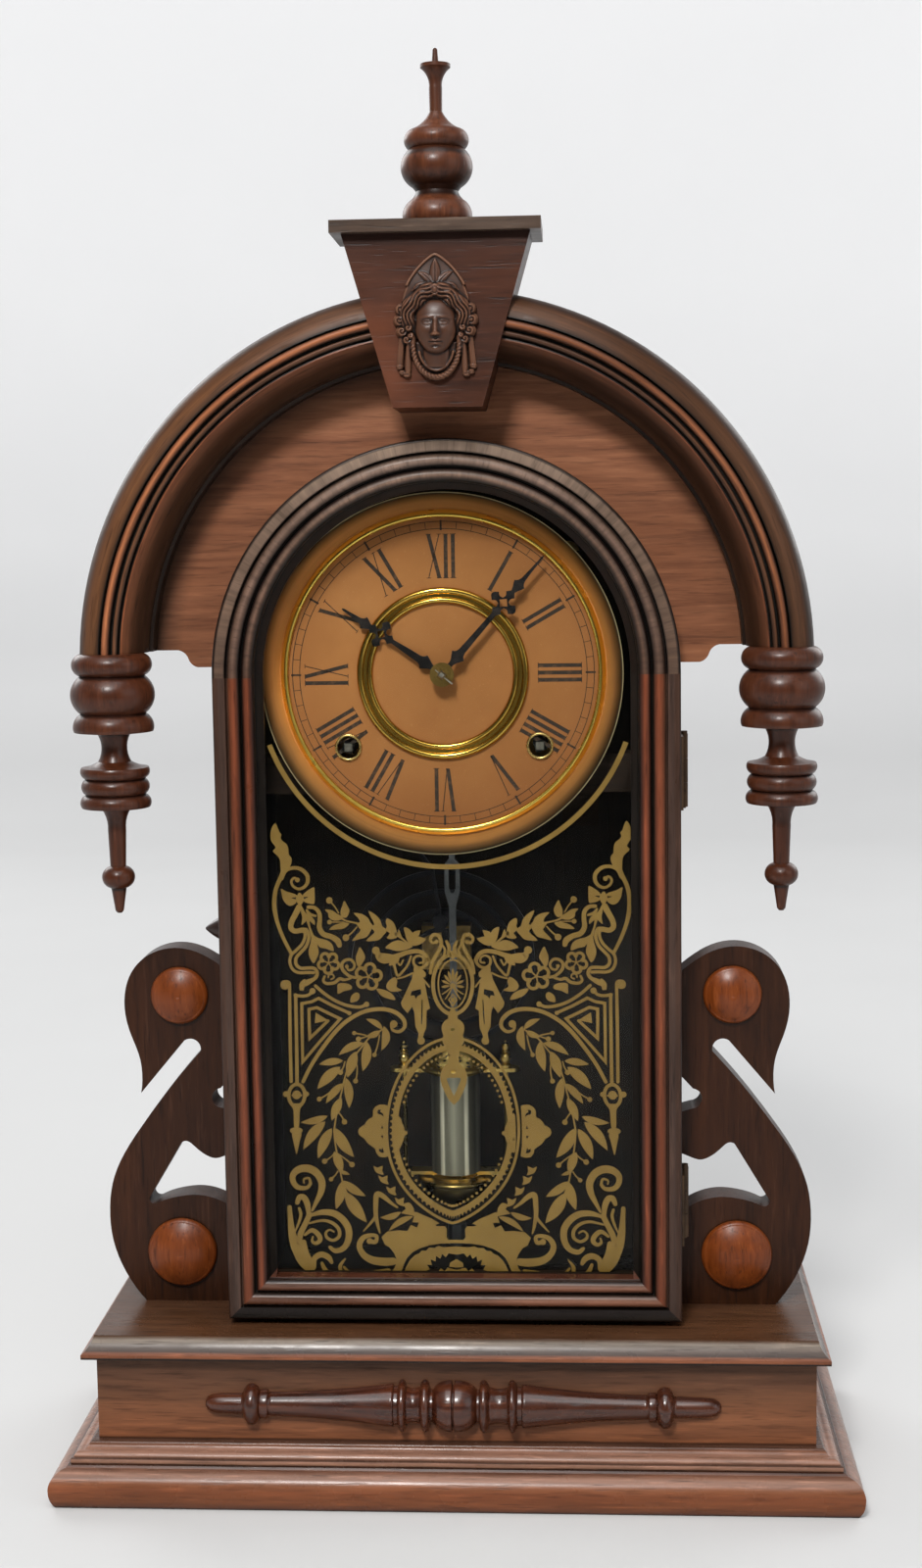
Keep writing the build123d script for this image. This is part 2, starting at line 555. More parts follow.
with BuildPart() as door_glass:
    arched(GW, Z_DOOR0 + 16.3, yd(10.0), yd(12.0))
save(door_glass, "door_glass")

with BuildPart() as glass_retaining_bead:
    arched(GW + 0.3, Z_DOOR0 + 16.0, yd(12.0), yd(15.0))
    arched(GW - 2.8, Z_DOOR0 + 17.4, yd(11.0), yd(16.0), mode=Mode.SUBTRACT)
save(glass_retaining_bead, "glass_retaining_bead")

# butt hinges: knuckle of three parts on a pin
HL = 15.0
KR = 1.6
with BuildPart() as case_hinge_leaves:
    for hz in HINGE_Z:
        slab(W_CASE, W_CASE + 1.0, HINGE_Y + 1.95, Y_CASE + 11.5, hz - HL, hz + HL)
        for a, b in ((-HL, -5.1), (5.1, HL)):
            slab(W_CASE, W_CASE + 1.0, HINGE_Y + 0.36, HINGE_Y + 1.95, hz + a, hz + b)
            cyl_z(HINGE_X, HINGE_Y, hz + a, hz + b, KR)
        cyl_z(HINGE_X, HINGE_Y, hz - HL - 1, hz + HL + 1, 0.8, mode=Mode.SUBTRACT)
save(case_hinge_leaves, "case_hinge_leaves")

with BuildPart() as door_hinge_leaves:
    for hz in HINGE_Z:
        slab(W_DOOR, W_DOOR + 1.0, HINGE_Y - 13.0, HINGE_Y - 1.95, hz - HL, hz + HL)
        slab(W_DOOR, W_DOOR + 1.0, HINGE_Y - 1.95, HINGE_Y - 0.2, hz - 4.9, hz + 4.9)
        cyl_z(HINGE_X, HINGE_Y, hz - 4.9, hz + 4.9, KR)
        cyl_z(HINGE_X, HINGE_Y, hz - HL - 1, hz + HL + 1, 0.86, mode=Mode.SUBTRACT)
save(door_hinge_leaves, "door_hinge_leaves")

with BuildPart() as hinge_pins:
    for hz in HINGE_Z:
        cyl_z(HINGE_X, HINGE_Y, hz - HL - 0.6, hz + HL, 0.8)
        cyl_z(HINGE_X, HINGE_Y, hz + HL, hz + HL + 1.2, 1.4)
save(hinge_pins, "hinge_pins")

# catch: a small keeper lug on the door, and a turn-blade on the knob's spindle
KEEP_X0, KEEP_X1 = -83.05, -82.05
with BuildPart() as door_keeper:
    slab(KEEP_X0, KEEP_X1 + 2.6, yd(T_DOOR), yd(T_DOOR + 1.0), KNOB_Z - 8, KNOB_Z + 8)
    slab(KEEP_X0, KEEP_X1, yd(T_DOOR), yd(27.0), KNOB_Z - 8, KNOB_Z + 8)
save(door_keeper, "door_keeper")

with BuildPart() as door_catch_knob:
    pl = Plane(origin=(0, KNOB_Y, KNOB_Z), x_dir=(1, 0, 0), z_dir=(0, -1, 0))
    with BuildSketch(pl):
        with BuildLine():
            path_from([(-105.2, 0), ("L", -105.2, 0.5), ("L", -104.4, 1.2), ("A", -100.2, 4.2, -97.2, 5.6),
                       ("L", -96.3, 5.5), ("L", -95.9, 3.4), ("L", -95.1, 3.4), ("L", -95.1, 1.5),
                       ("L", -83.3, 1.5), ("L", -83.3, 0), ("L", -105.2, 0)])
        make_face()
    revolve(axis=Axis((0, KNOB_Y, KNOB_Z), (1, 0, 0)), revolution_arc=360)
    # blade just inside the case side
    slab(-84.5, -83.3, KNOB_Y - 2.4, KNOB_Y + 2.4, KNOB_Z - 2.4, KNOB_Z + 12.0)
save(door_catch_knob, "door_catch_knob")

# ===========================================================================
# GEARING
# ===========================================================================


def polar(c, ang, d):
    return (c[0] + d * math.cos(ang), c[1] + d * math.sin(ang))


def ang_of(a, b):
    return math.atan2(b[1] - a[1], b[0] - a[0])


def meet(a, ra, b, rb, side):
    """point at ra from a and rb from b, on the left (+1) or right (-1) of a->b"""
    d = math.hypot(b[0] - a[0], b[1] - a[1])
    x = (ra * ra - rb * rb + d * d) / (2 * d)
    h = math.sqrt(ra * ra - x * x)
    ux, uy = (b[0] - a[0]) / d, (b[1] - a[1]) / d
    return (a[0] + ux * x - side * uy * h, a[1] + uy * x + side * ux * h)


def tooth_pts(R, N, r, p, add, c=0.12):
    """half of one tooth space for a lantern pinion: root corner and tip corner, (x, y) about the space centre line"""
    q = p + c
    half = math.pi / N
    ex, ey = R, q
    th = 0.0
    while th < 0.6:
        al = (R + 2 * r) / (2 * r) * th
        nx = (R + r) * math.cos(th) - r * math.cos((R + r) / r * th) - q * math.sin(al)
        ny = (R + r) * math.sin(th) - r * math.sin((R + r) / r * th) + q * math.cos(al)
        rad = math.hypot(nx, ny)
        an = math.atan2(ny, nx)
        if rad > R + add or (half - an) * rad < 0.16:
            break
        ex, ey = nx, ny
        th += add / (60.0 * R)
    slope = (ey - q) / (ex - R)
    x0 = R - q - 0.02
    return [(x0, q - slope * (R - x0)), (ex, ey)]


def wheel_outline(c, R, N, r, p, add, phase):
    half = tooth_pts(R, N, r, p, add)
    out = []
    for i in range(N):
        a = phase + 2 * math.pi * i / N
        ca, sa = math.cos(a), math.sin(a)
        seq = [(x, -y) for x, y in half[::-1]] + [(x, y) for x, y in half]
        for x, y in seq:
            out.append((c[0] + x * ca - y * sa, c[1] + x * sa + y * ca))
    return out


def wheel(c, R, N, r, p, add, phase, y0, y1, hub, spokes):
    """toothed wheel with crossings"""
    with BuildSketch(pxz(y1)) as sk:
        with BuildLine():
            Polyline(*wheel_outline(c, R, N, r, p, add, phase), close=True)
        make_face()
        ro, ri = R - p - 2.4, hub
        w = 1.1
        for k in range(spokes):
            a0 = 2 * math.pi * k / spokes
            a1 = 2 * math.pi * (k + 1) / spokes
            with BuildLine():
                am = (a0 + a1) / 2
                b0, b1 = a0 + math.asin(w / ro), a1 - math.asin(w / ro)
                d0, d1 = a0 + math.asin(w / ri), a1 - math.asin(w / ri)
                ThreePointArc(polar(c, b0, ro), polar(c, am, ro), polar(c, b1, ro))
                Line(polar(c, b1, ro), polar(c, d1, ri))
                ThreePointArc(polar(c, d1, ri), polar(c, am, ri), polar(c, d0, ri))
                Line(polar(c, d0, ri), polar(c, b0, ro))
            make_face(mode=Mode.SUBTRACT)
    extrude(sk.sketch, amount=y1 - y0)


def lantern(c, r, n, p, phase, y0, y1):
    """lantern pinion: n trundles between two collets"""
    cyl_y(c[0], c[1], y0, y0 + 0.8, r + p + 0.5)
    cyl_y(c[0], c[1], y1 - 0.8, y1, r + p + 0.5)
    with BuildSketch(pxz(y1 - 0.4)) as sk:
        with Locations(*[polar(c, phase + 2 * math.pi * i / n, r) for i in range(n)]):
            Circle(p)
    extrude(sk.sketch, amount=y1 - y0 - 0.8)


Y_FP0, Y_FP1 = yd(50.0), yd(52.0)      # front plate
Y_BP0, Y_BP1 = yd(82.0), yd(84.0)      # back plate

C = (DX, DZ)
GT = WIND[0]
GS = WIND[1]
E = (PX, ZP - 22.0)
V = (PX, ZP)
R_GREAT, N_GREAT, R_P12, N_P12, P_P12 = 24.0, 72, 4.0, 12, 0.5
R_SEC, N_SEC, R_CP, N_CP, P_CP = 20.0, 60, 4.0, 12, 0.5
R_CEN, N_CEN, R_TP, N_TP, P_TP = 20.0, 64, 2.5, 8, 0.45
R_THI, N_THI, R_EP, N_EP, P_EP = 19.2, 72, 1.6, 6, 0.36
S = meet(C, R_SEC + R_CP, GT, R_GREAT + R_P12, 1)
T = meet(C, R_CEN + R_TP, E, R_THI + R_EP, 1)
PW = (GS[0] + 27.0, GS[1] - 7.4)
d_pw = math.hypot(PW[0] - GS[0], PW[1] - GS[1])
PW = (GS[0] + (PW[0] - GS[0]) * 28.0 / d_pw, GS[1] + (PW[1] - GS[1]) * 28.0 / d_pw)
R_PIN, N_PIN, R_FP, N_FP, P_FP = 20.0, 60, 8.0 / 3.0, 8, 0.45
F = polar(PW, math.radians(-20.0), R_PIN + R_FP)
M = (C[0] - 12.0, C[1])
R_MW, N_MW, R_CAN, N_CAN, P_CAN = 9.0, 24, 3.0, 8, 0.5
R_HW, N_HW, R_MP, N_MP, P_MP = 9.6, 32, 2.4, 8, 0.4
H = (-24.0, 276.0)

AR = 1.0       # arbor radius
PR = 0.6       # pivot radius
BORE = 0.66    # pivot hole radius


def arbor(c, r=AR, y0=None, y1=None):
    cyl_y(c[0], c[1], Y_FP1 + 0.3, Y_BP0 - 0.3, r)
    cyl_y(c[0], c[1], Y_FP0 + 0.2, Y_FP1 + 0.4, PR)
    cyl_y(c[0], c[1], Y_BP0 - 0.4, Y_BP1 - 0.2, PR)


# --- time train ---
with BuildPart() as centre_arbor:
    cyl_y(C[0], C[1], Y_FP0 - 2.0, Y_BP0 - 0.3, 1.6)
    cyl_y(C[0], C[1], yd(19.6), Y_FP0 - 2.0, 1.6)
    cyl_y(C[0], C[1], Y_BP0 - 0.4, Y_BP1 - 0.2, 0.9)
    lantern(C, R_CP, N_CP, P_CP, ang_of(C, S), yd(75.2), yd(80.3))
    lantern(C, R_CAN, N_CAN, P_CAN, ang_of(C, M), yd(38.5), yd(42.6))
    wheel(C, R_CEN, N_CEN, R_TP, P_TP, 0.85, ang_of(C, T), yd(54.0), yd(55.5), 4.0, 4)
save(centre_arbor, "centre_arbor")

with BuildPart() as second_wheel:
    arbor(S)
    lantern(S, R_P12, N_P12, P_P12, ang_of(S, GT), yd(56.6), yd(61.4))
    wheel(S, R_SEC, N_SEC, R_CP, P_CP, 0.95, ang_of(S, C), yd(77.0), yd(78.5), 3.5, 4)
save(second_wheel, "second_wheel")

with BuildPart() as third_wheel:
    arbor(T)
    lantern(T, R_TP, N_TP, P_TP, ang_of(T, C), yd(52.7), yd(56.9))
    wheel(T, R_THI, N_THI, R_EP, P_EP, 0.6, ang_of(T, E), yd(66.0), yd(67.3), 3.5, 4)
save(third_wheel, "third_wheel")

with BuildPart() as escape_wheel:
    arbor(E)
    lantern(E, R_EP, N_EP, P_EP, ang_of(E, T), yd(64.4), yd(68.9))
    NE, RE = 42, 14.0
    pts = []
    for i in range(NE):
        a = 2 * math.pi * i / NE + math.pi / 2
        pts.append(polar(E, a, RE))
        pts.append(polar(E, a + 0.010, RE))
        pts.append(polar(E, a + 0.050, RE - 1.9))
        pts.append(polar(E, a + 2 * math.pi / NE - 0.012, RE - 1.9))
    poly_y(pts, yd(58.0), yd(59.2))
    for k in range(4):
        a0, a1 = k * math.pi / 2, (k + 1) * math.pi / 2
        q = []
        for i in range(7):
            q.append(polar(E, a0 + 0.1 + (a1 - a0 - 0.2) * i / 6, 10.6))
        for i in range(4):
            q.append(polar(E, a1 - 0.3 - (a1 - a0 - 0.6) * i / 3, 3.4))
        poly_y(q, yd(57.0), yd(60.0), mode=Mode.SUBTRACT)
    cyl_y(E[0], E[1], yd(57.4), yd(59.8), 2.2)
save(escape_wheel, "escape_wheel")

# verge strip, its arbor, and the crutch that drives the pendulum rod
with BuildPart() as verge_crutch:
    cyl_y(V[0], V[1], yd(47.6), Y_BP0 - 0.3, 1.2)
    cyl_y(V[0], V[1], Y_BP0 - 0.4, Y_BP1 - 0.2, PR)
    gap = 1.05
    th = 1.2
    al = math.acos(RE / 22.0)
    for sg in (-1, 1):
        # contact point of the tangent from the verge pivot
        a = math.pi / 2 + sg * al
        p_in = polar(E, a, RE + gap)
        p_out = polar(E, a, RE + gap + th)
        tx, tz = (V[0] - p_in[0]), (V[1] - p_in[1])
        ln = math.hypot(tx, tz)
        tx, tz = tx / ln, tz / ln
        q_in = (p_in[0] + tx * (ln - 0.2), p_in[1] + tz * (ln - 0.2))
        q_out = (p_out[0] + tx * (ln + 0.6), p_out[1] + tz * (ln + 0.6))
        poly_y([p_in, p_out, q_out, q_in], yd(57.6), yd(59.6))
    cyl_y(V[0], V[1], yd(57.0), yd(60.2), 2.4)
    # crutch and its two prongs
    cyl_y(V[0], V[1], yd(48.0), yd(49.4), 2.4)
    slab(PX - 1.3, PX + 1.3, yd(48.0), yd(49.4), 364.0, ZP)
    slab(PX - 2.6, PX + 2.6, yd(48.0), yd(49.4), 360.5, 364.5)
    for sg in (-1, 1):
        xa, xb = sorted((PX + sg * 1.45, PX + sg * 2.6))
        slab(xa, xb, yd(43.6), yd(48.2), 361.2, 363.8)
save(verge_crutch, "verge_crutch")

with BuildPart() as time_great_wheel:
    cyl_y(GT[0], GT[1], yd(57.0), yd(58.2), 5.5)
    # click on its stud, resting just clear of the ratchet teeth
    ca = math.radians(72)
    cyl_y(*polar(GT, ca, 15.6), yd(59.5), yd(61.6), 1.7)
    k0, k1 = polar(GT, ca, 15.6), polar(GT, ca + 0.62, 10.2)
    nx, nz = -(k1[1] - k0[1]), (k1[0] - k0[0])
    nl = math.hypot(nx, nz)
    nx, nz = nx / nl, nz / nl
    poly_y([(k0[0] + nx * 1.3, k0[1] + nz * 1.3), (k0[0] - nx * 1.3, k0[1] - nz * 1.3),
            (k1[0] - nx * 0.5, k1[1] - nz * 0.5), (k1[0] + nx * 0.5, k1[1] + nz * 0.5)], yd(60.0), yd(61.4))
    wheel(GT, R_GREAT, N_GREAT, R_P12, P_P12, 0.95, ang_of(GT, S), yd(58.0), yd(60.0), 6.0, 5)
    cyl_y(GT[0], GT[1], yd(55.0), yd(62.5), 3.06, mode=Mode.SUBTRACT)
save(time_great_wheel, "time_great_wheel")

with BuildPart() as strike_great_wheel:
    cyl_y(GS[0], GS[1], yd(57.0), yd(58.2), 5.5)
    ca = math.radians(72)
    cyl_y(*polar(GS, ca, 15.6), yd(59.5), yd(61.6), 1.7)
    k0, k1 = polar(GS, ca, 15.6), polar(GS, ca - 0.62, 10.2)
    nx, nz = -(k1[1] - k0[1]), (k1[0] - k0[0])
    nl = math.hypot(nx, nz)
    nx, nz = nx / nl, nz / nl
    poly_y([(k0[0] + nx * 1.3, k0[1] + nz * 1.3), (k0[0] - nx * 1.3, k0[1] - nz * 1.3),
            (k1[0] - nx * 0.5, k1[1] - nz * 0.5), (k1[0] + nx * 0.5, k1[1] + nz * 0.5)], yd(60.0), yd(61.4))
    wheel(GS, R_GREAT, N_GREAT, R_P12, P_P12, 0.95, ang_of(GS, PW), yd(58.0), yd(60.0), 6.0, 5)
    cyl_y(GS[0], GS[1], yd(55.0), yd(62.5), 3.06, mode=Mode.SUBTRACT)
save(strike_great_wheel, "strike_great_wheel")


def winding_arbor(c, sgn):
    cyl_y(c[0], c[1], Y_FP0 - 3.0, Y_BP0 - 0.3, 3.0)
    cyl_y(c[0], c[1], Y_BP0 - 0.4, Y_BP1 - 0.1, 1.8)
    # square for the key
    with BuildSketch(pxz(Y_FP0 - 2.9)) as sk:
        with Locations((c[0], c[1])):
            Rectangle(4.6, 4.6, rotation=20 * sgn)
    extrude(sk.sketch, amount=(Y_FP0 - 2.9) - yd(27.3))
    # ratchet wheel
    n, ro, ri = 24, 9.4, 8.1
    pts = []
    for i in range(n):
        a = sgn * 2 * math.pi * i / n
        pts.append(polar(c, a, ro))
        pts.append(polar(c, a + sgn * 0.03, ri))
    if sgn < 0:
        pts = pts[::-1]
    poly_y(pts, yd(60.4), yd(61.5))


with BuildPart() as time_winding_arbor:
    winding_arbor(GT, 1)
save(time_winding_arbor, "time_winding_arbor")
with BuildPart() as strike_winding_arbor:
    winding_arbor(GS, -1)
save(strike_winding_arbor, "strike_winding_arbor")

# --- strike train ---
with BuildPart() as pin_wheel:
    arbor(PW)
    lantern(PW, R_P12, N_P12, P_P12, ang_of(PW, GS), yd(56.6), yd(61.4))
    wheel(PW, R_PIN, N_PIN, R_FP, P_FP, 0.85, ang_of(PW, F), yd(77.0), yd(78.5), 3.5, 4)
    # lifting pins for the hammer tail
    with BuildSketch(pxz(yd(77.2))):
        with Locations(*[polar(PW, 2 * math.pi * i / 10, 17.9) for i in range(10)]):
            Circle(0.6)
    extrude(amount=2.4)
save(pin_wheel, "pin_wheel")

with BuildPart() as strike_fly:
    arbor(F)
    lantern(F, R_FP, N_FP, P_FP, ang_of(F, PW), yd(75.6), yd(80.0))
    slab(F[0] - 9.0, F[0] + 9.0, yd(63.0), yd(73.0), F[1] - 0.4, F[1] + 0.4)
    cyl_y(F[0], F[1], yd(62.6), yd(73.4), 1.7)
save(strike_fly, "strike_fly")

# hammer arbor, its tail towards the lifting pins, the long wire and the head
with BuildPart() as strike_hammer:
    arbor(H)
    HW = 0.7
    ham = [H, (-20.0, 262.0), (-11.6, 250.0), (-8.6, 229.0)]
    for a, b in zip(ham[:-1], ham[1:]):
        t = ang_of(a, b)
        n1 = (-math.sin(t) * HW, math.cos(t) * HW)
        poly_y([(a[0] + n1[0], a[1] + n1[1]), (a[0] - n1[0], a[1] - n1[1]), (b[0] - n1[0], b[1] - n1[1]),
                (b[0] + n1[0], b[1] + n1[1])], yd(75.0), yd(76.4))
        cyl_y(b[0], b[1], yd(75.0), yd(76.4), HW)
    tail = polar(PW, ang_of(PW, H), 19.1)
    t = ang_of(H, tail)
    n1 = (-math.sin(t) * 0.6, math.cos(t) * 0.6)
    poly_y([(H[0] + n1[0], H[1] + n1[1]), (H[0] - n1[0], H[1] - n1[1]), (tail[0] - n1[0], tail[1] - n1[1]),
            (tail[0] + n1[0], tail[1] + n1[1])], yd(74.6), yd(75.8))
    cyl_y(H[0], H[1], yd(74.0), yd(77.0), 2.0)
    cyl_y(-8.4, 226.6, yd(73.5), yd(83.0), 3.4)
save(strike_hammer, "strike_hammer")

# --- motion work ---
with BuildPart() as motion_wheel:
    cyl_y(M[0], M[1], yd(33.6), yd(41.6), 1.7)
    wheel(M, R_MW, N_MW, R_CAN, P_CAN, 0.75, ang_of(M, C), yd(40.0), yd(41.2), 3.0, 3)
    lantern(M, R_MP, N_MP, P_MP, ang_of(M, C), yd(33.6), yd(37.4))
    cyl_y(M[0], M[1], yd(33.0), yd(42.0), 1.06, mode=Mode.SUBTRACT)
save(motion_wheel, "motion_wheel")

with BuildPart() as hour_wheel:
    cyl_y(C[0], C[1], yd(24.9), yd(37.9), 2.8)
    wheel(C, R_HW, N_HW, R_MP, P_MP, 0.65, ang_of(C, M), yd(35.0), yd(36.0), 3.6, 3)
    cyl_y(C[0], C[1], yd(24.0), yd(39.0), 1.67, mode=Mode.SUBTRACT)
save(hour_wheel, "hour_wheel")


# --- hands: (distance from the centre, half width) down one side ---
def hand(length, angle, y0, y1, boss_r, bore, outline, cross):
    a = math.radians(90.0 - angle)
    ux, uz = math.cos(a), math.sin(a)
    vx, vz = -uz, ux

    def P(s, w):
        return (C[0] + ux * s * length + vx * w * length, C[1] + uz * s * length + vz * w * length)

    cyl_y(C[0], C[1], y0, y1, boss_r)
    for run in outline:
        pts = [P(s, w) for s, w in run] + [P(s, -w) for s, w in run[::-1]]
        poly_y(pts, y0, y1)
    # pierced cross: four flared arms with concave sides round a square hole
    cs, k = cross
    arm = [(0.010, 0.030), (0.045, 0.020), (0.058, 0.024), (0.074, 0.038), (0.100, 0.016), (0.106, 0.0)]
    for q in range(4):
        ca, sa = math.cos(q * math.pi / 2), math.sin(q * math.pi / 2)
        pts = []
        for s, w in arm + [(s, -w) for s, w in arm[:-1][::-1]]:
            s, w = s * k, w * k
            pts.append(P(cs + s * ca - w * sa, s * sa + w * ca))
        poly_y(pts, y0, y1)
    h = 0.036 * k
    poly_y([P(cs + h, 0), P(cs, h), P(cs - h, 0), P(cs, -h)], y0 - 1, y1 + 1, mode=Mode.SUBTRACT)
    cyl_y(C[0], C[1], y0 - 1, y1 + 1, bore, mode=Mode.SUBTRACT)


M_OUT = [[(0.02, 0.017), (0.095, 0.016), (0.118, 0.024), (0.135, 0.036), (0.160, 0.050), (0.166, 0.040),
          (0.178, 0.029), (0.200, 0.023), (0.30, 0.020), (0.42, 0.018), (0.52, 0.015), (0.56, 0.014)],
         [(0.65, 0.013), (0.700, 0.014), (0.722, 0.022), (0.740, 0.032), (0.762, 0.042), (0.768, 0.032),
          (0.780, 0.022), (0.800, 0.015), (0.88, 0.010), (0.985, 0.0065), (1.0, 0.002)]]
H_OUT = [[(0.02, 0.024), (0.11, 0.022), (0.135, 0.034), (0.158, 0.048), (0.190, 0.064), (0.198, 0.050),
          (0.212, 0.038), (0.235, 0.030), (0.33, 0.027), (0.42, 0.022), (0.52, 0.017), (0.56, 0.015)],
         [(0.66, 0.016), (0.710, 0.018), (0.735, 0.028), (0.758, 0.042), (0.785, 0.055), (0.792, 0.042),
          (0.806, 0.029), (0.826, 0.021), (0.90, 0.015), (0.985, 0.010), (1.0, 0.003)]]

with BuildPart() as minute_hand:
    hand(64.3, MINUTE_ANGLE, yd(21.6), yd(22.2), 3.4, 1.6, M_OUT, (0.605, 0.92))
save(minute_hand, "minute_hand")

with BuildPart() as hour_hand:
    hand(49.6, HOUR_ANGLE, yd(25.0), yd(25.6), 4.0, 2.8, H_OUT, (0.610, 1.12))
    # short pipe sleeve keeps the boss on the hour pipe
save(hour_hand, "hour_hand")

with BuildPart() as minute_hand_washer:
    cyl_y(C[0], C[1], yd(20.9), yd(21.6), 5.0)
    cyl_y(C[0], C[1], yd(20.3), yd(20.9), 3.2)
    cyl_y(C[0], C[1], yd(19.0), yd(22.0), 1.6, mode=Mode.SUBTRACT)
    # taper pin lying across the face, beside the squared tip
    a = math.radians(-41)
    ux, uz = math.cos(a), math.sin(a)
    p0 = (C[0] + ux * 1.7, C[1] + uz * 1.7)
    p1 = (C[0] + ux * 5.6, C[1] + uz * 5.6)
    poly_y([(p0[0] - uz * 0.32, p0[1] + ux * 0.32), (p0[0] + uz * 0.32, p0[1] - ux * 0.32),
            (p1[0] + uz * 0.22, p1[1] - ux * 0.22), (p1[0] - uz * 0.22, p1[1] + ux * 0.22)], yd(20.0), yd(20.6))
save(minute_hand_washer, "minute_hand_washer")

# --- plates ---
PILLARS = [(DX + 44.0, DZ - 57.6), (DX - 44.0, DZ - 57.6), (DX + 52.0, DZ + 49.0), (DX - 52.0, DZ + 49.0)]


def plate(y0, y1):
    with BuildSketch(pxz(y1)) as sk:
        with Locations(C):
            Circle(73.5)
        with Locations((C[0], C[1] - 3.0)):
            Rectangle(128, 126, mode=Mode.INTERSECT)
        with Locations(*PILLARS):
            Circle(5.0)
    extrude(sk.sketch, amount=y1 - y0)


ARBORS = [S, T, PW, F, H]
with BuildPart() as movement_front_plate:
    plate(Y_FP0, Y_FP1)
    for c in ARBORS + [E]:
        cyl_y(c[0], c[1], Y_FP0 - 1, Y_FP1 + 1, BORE, mode=Mode.SUBTRACT)
    cyl_y(V[0], V[1], Y_FP0 - 1, Y_FP1 + 1, 1.26, mode=Mode.SUBTRACT)
    cyl_y(C[0], C[1], Y_FP0 - 1, Y_FP1 + 1, 1.66, mode=Mode.SUBTRACT)
    for c in WIND:
        cyl_y(c[0], c[1], Y_FP0 - 1, Y_FP1 + 1, 3.06, mode=Mode.SUBTRACT)
    for c in PILLARS:
        cyl_y(c[0], c[1], Y_FP0 - 1, Y_FP1 + 1, 1.5, mode=Mode.SUBTRACT)
    # stud for the motion wheel
    cyl_y(M[0], M[1], yd(33.0), Y_FP0, 1.0)
    # slotted post and suspension spring, in front of the plate
    cyl_y(PX, ZP + 7.5, yd(43.6), Y_FP0, 2.4)
    slab(PX - 0.15, PX + 0.15, yd(43.8), yd(46.6), ZP - 2.2, ZP + 6.0)
save(movement_front_plate, "movement_front_plate")

with BuildPart() as movement_back_plate:
    plate(Y_BP0, Y_BP1)
    for c in ARBORS + [E, V]:
        cyl_y(c[0], c[1], Y_BP0 - 1, Y_BP1 + 1, BORE, mode=Mode.SUBTRACT)
    cyl_y(C[0], C[1], Y_BP0 - 1, Y_BP1 + 1, 0.96, mode=Mode.SUBTRACT)
    for c in WIND:
        cyl_y(c[0], c[1], Y_BP0 - 1, Y_BP1 + 1, 1.86, mode=Mode.SUBTRACT)
    # riveted pillars with shouldered tips through the front plate
    for c in PILLARS:
        cyl_y(c[0], c[1], Y_FP1, Y_BP0, 2.2)
        cyl_y(c[0], c[1], Y_FP0 - 2.4, Y_FP1, 1.5)
save(movement_back_plate, "movement_back_plate")

with BuildPart() as movement_rails:
    for sg in (-1, 1):
        xa, xb = sorted((sg * 46.0, sg * 62.0))
        slab(xa, xb, Y_BP1, Y_BACK, 268.0, 412.0)
save(movement_rails, "movement_rails")

# open mainsprings, each a spiral of strip round its winding arbor
def spiral(c, r0, r1, turns, a0, sg, w, y0, y1):
    """flat spiral strip of width w, made of quarter turns"""
    n = int(round(turns * 4))

    def at(t, off):
        return polar(c, a0 + sg * math.pi / 2 * t, r0 + (r1 - r0) * t / n + off)

    with BuildSketch(pxz(y1)) as sk:
        with BuildLine():
            for i in range(n):
                ThreePointArc(at(i, 0), at(i + 0.5, 0), at(i + 1, 0))
            Line(at(n, 0), at(n, w))
            for i in range(n, 0, -1):
                ThreePointArc(at(i, w), at(i - 0.5, w), at(i - 1, w))
            Line(at(0, w), at(0, 0))
        make_face()
    extrude(sk.sketch, amount=y1 - y0)


with BuildPart() as mainsprings:
    spiral(GT, 4.6, 17.0, 8, 0.4, 1, 0.5, yd(62.8), yd(74.4))
    spiral(GS, 4.6, 17.0, 8, math.pi - 0.4, -1, 0.5, yd(62.8), yd(74.4))
save(mainsprings, "mainsprings")

